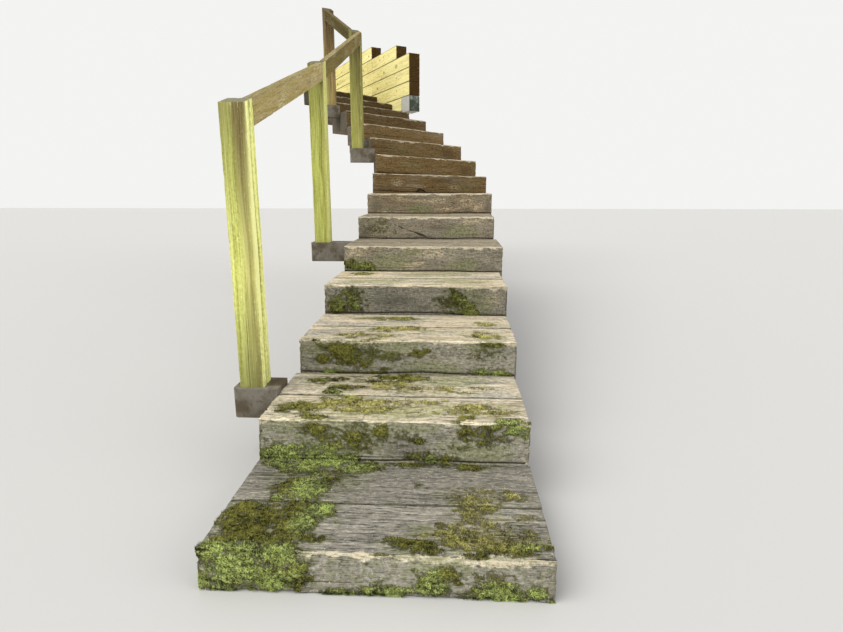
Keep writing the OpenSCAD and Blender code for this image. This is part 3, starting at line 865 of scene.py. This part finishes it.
def make_posts():
    """A post's grain stands upright. Its right side is the high one across, and its front the low one up."""
    for number, node in enumerate(POSTS):
        side = next(d for d in face_directions(node) if abs(d[2]) < 0.01 and d[0] > 0.5)
        corners = box_corners(node, np.array([0, 0, 1.0]), side)
        draw = random.Random(300 + number)
        look = POST_LOOKS[node]
        cracks = grain_cracks(draw, POST_SIZE, 3, [(ACROSS, True), (ACROSS, False)])
        cracks.append({"axis": UP, "high": True, "at": 48, "half": look["check"], "deep": 12, **ALL_ALONG})
        finish = "brown" if node == "fifth_post" else "post"
        post = Timber(f"weathered_{node}", corners, finish, 80 + number, (22, 6, 6), 4, cracks)
        share_up = post.flat[:, GRAIN] / post.size[GRAIN]
        front = np.interp(share_up, (0.1, 0.45, 0.95), look["front"])
        right = look["right"] * np.interp(share_up, (0.05, 0.3), (0.85, 1))
        rightness = smooth((post.flat[:, ACROSS] - post.size[ACROSS]) / 6 + 1)
        post.fields["tone"] = front + (right - front) * rightness
        post.fields["specks"] += 0.4
        facing = smooth(1.2 - post.flat[:, UP] / 8)
        high = smooth(share_up * 2.2 - 1.25)
        streak, streak_place = look["streak"]
        core = smooth(1.2 - np.abs(post.flat[:, ACROSS] / post.size[ACROSS] - streak_place) / 0.28)
        post.fields["warm"] += look["brown"] * (0.5 + 0.5 * share_up)
        post.fields["warm"] += facing * (core * (streak + 0.30 * high) + 0.25 * high)
        post.fields["warm"] += facing * 0.3 * smooth(share_up * 7 - 6)
        post.fields["grime"] += facing * 0.2 * high
        on_front, on_right = look["bleach"]
        post.fields["bleach"] += on_front * facing
        post.fields["bleach"] += on_right * rightness * (1 + smooth(1.2 - post.flat[:, UP] / 45))
        post.weather(0.35)
        hand_over([post.make()], node)


def make_rails():
    for number, node in enumerate(RAILS):
        faces = face_directions(node)
        side = faces[0] if faces[0][0] < 0 else -faces[0]
        edge = next(d for d in faces if d[2] > 0.5)
        corners = box_corners(node, np.cross(side, edge), side)
        rail = Timber(f"weathered_{node}", corners, "rail", 90 + number, (22, 6, 6), 3)
        draw = random.Random(400 + number)
        below_top = smooth((rail.size[UP] - rail.flat[:, UP]) / 6)
        sides, top, bleached, pale_patches = RAIL_LOOKS[node]
        rail.fields["tone"] = top + (sides - top) * below_top
        rail.fields["bleach"] += smooth((rail.flat[:, UP] - rail.size[UP]) / 6 + 1)
        rail.fields["bleach"] += bleached * below_top
        rail.fields["specks"] += 0.5
        rail.fields["warm"] += 0.3
        rail.fields["grime"] += 0.25
        for _ in range(pale_patches):
            rail.spot("pale", draw.uniform(0, 1), 0.5, draw.uniform(0, 1), (90, 89, 30))
        rail.weather(0.3)
        hand_over([rail.make()], node)


def loose_parts(node):
    """The corner points of each separate timber of a CAD node, from the nearest to the farthest along Y."""
    points = points_of(node)
    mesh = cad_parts[node].data
    keys = [tuple(round(c, 6) for c in v.co) for v in mesh.vertices]
    group = {tuple(p): i for i, p in enumerate(points)}
    for _ in range(len(points)):
        for face in mesh.polygons:
            ring = [keys[v] for v in face.vertices]
            low = min(group[k] for k in ring)
            for k in ring:
                group[k] = low
    parts = [np.array([p for p in points if group[tuple(p)] == g]) for g in sorted(set(group.values()))]
    return sorted(parts, key=lambda part: part[:, 1].mean())


def wall_axes(node):
    """Along the wall from its near end, and across it towards the flight."""
    side = next(d for d in face_directions(node) if abs(d[2]) < 0.01 and d[0] < -0.5)
    return np.array([side[1], -side[0], 0]), side


def make_wall():
    """The courses have a few knots each, and the fourth a large one near its end."""
    for number, node in enumerate(COURSES, 1):
        along, side = wall_axes(node)
        pieces = []
        for index, points in enumerate(loose_parts(node)):
            seed = 110 + number * 5 + index
            draw = random.Random(seed)
            name = f"weathered_{node}" + (f"_part_{index + 1}" if index else "")
            course = Timber(name, corners_of(points, along, side), "wall", seed, (30, 12, 9), 3)
            if course.size[GRAIN] > 400:
                for _ in range(3):
                    course.knot(draw.uniform(0.05, 0.95), 1, draw.uniform(0.3, 0.7), draw.uniform(10, 20))
            if number == 4:
                course.knot(*LARGE_KNOT)
            from_joint = np.minimum(course.flat[:, UP], course.size[UP] - course.flat[:, UP])
            course.fields["crack"] = smooth(1.1 - from_joint / 5)
            far = smooth(course.flat[:, GRAIN] / 900) if index == 0 else 1.0
            course.fields["bleach"] += 0.9 * (1 - far)
            course.fields["tone"] *= 1.08 - 0.18 * far
            course.weather(0.3)
            pieces.append(course.make())
        hand_over(pieces, node)


def make_block():
    """The concrete block that ends the wall's lowest course."""
    corners = box_corners("wall_end_block", *wall_axes("wall_end_block"))
    block = Timber("rough_wall_end_block", corners, "block", 150, (9, 9, 9), 5)
    block.weather(1.0)
    hand_over([block.make()], "wall_end_block")


def dress_pads():
    """The concrete pads keep their own shape and take their finish."""
    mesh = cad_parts["post_footings"].data
    keep_vector(mesh, "wood", [v.co for v in mesh.vertices])
    mesh.materials.clear()
    mesh.materials.append(FINISH["pad"])


# Studio

FLOOR_SIZE = 30
# The name, strength and direction of each lamp
LAMPS = (("soft_sun", 2.2, (0.55, 0.35, -0.76)), ("soft_fill", 1.0, (-0.91, 0.27, -0.32)))


def make_floor():
    size = FLOOR_SIZE
    mesh = bpy.data.meshes.new("floor")
    corners = [(-size, -size, 0), (size, -size, 0), (size, size, 0), (-size, size, 0)]
    mesh.from_pydata(corners, [], [(0, 1, 2, 3)])
    floor = bpy.data.objects.new("floor", mesh)
    floor.location.z = -0.001
    bpy.context.scene.collection.objects.link(floor)
    s = Shader(bpy.data.materials.new("pale_floor"))
    mesh.materials.append(s.finish((0.58, 0.575, 0.56), 0.9, FLOOR_GLOSS))


def make_light():
    """A plain pale backdrop, an even soft sky, and two wide soft lamps."""
    s = Shader(bpy.data.worlds.new("studio"))
    soft = s.node("ShaderNodeBackground", None, {"Color": (0.97, 0.98, 1.0, 1), "Strength": 0.67})
    pale = s.node("ShaderNodeBackground", None, {"Color": (0.90, 0.90, 0.89, 1), "Strength": 1.0})
    seen = sum(s.node("ShaderNodeLightPath", out=f"Is {kind} Ray")
               for kind in ("Camera", "Glossy", "Transmission"))
    backdrop = s.node("ShaderNodeMixShader", None, {0: seen.math("MINIMUM", 1.0), 1: soft, 2: pale})
    s.node("ShaderNodeOutputWorld", None, {"Surface": backdrop})
    bpy.context.scene.world = s.owner
    for name, strength, direction in LAMPS:
        lamp = bpy.data.lights.new(name, "SUN")
        lamp.energy = strength
        lamp.angle = math.radians(50)
        lamp.color = (1.0, 0.98, 0.94)
        sun = bpy.data.objects.new(name, lamp)
        sun.rotation_euler = Vector(direction).to_track_quat("-Z", "Y").to_euler()
        bpy.context.scene.collection.objects.link(sun)


make_camera()
make_ties()
make_rear_timbers()
make_posts()
make_rails()
make_wall()
make_block()
dress_pads()
make_floor()
make_light()
bpy.context.scene.view_settings.view_transform = "Standard"
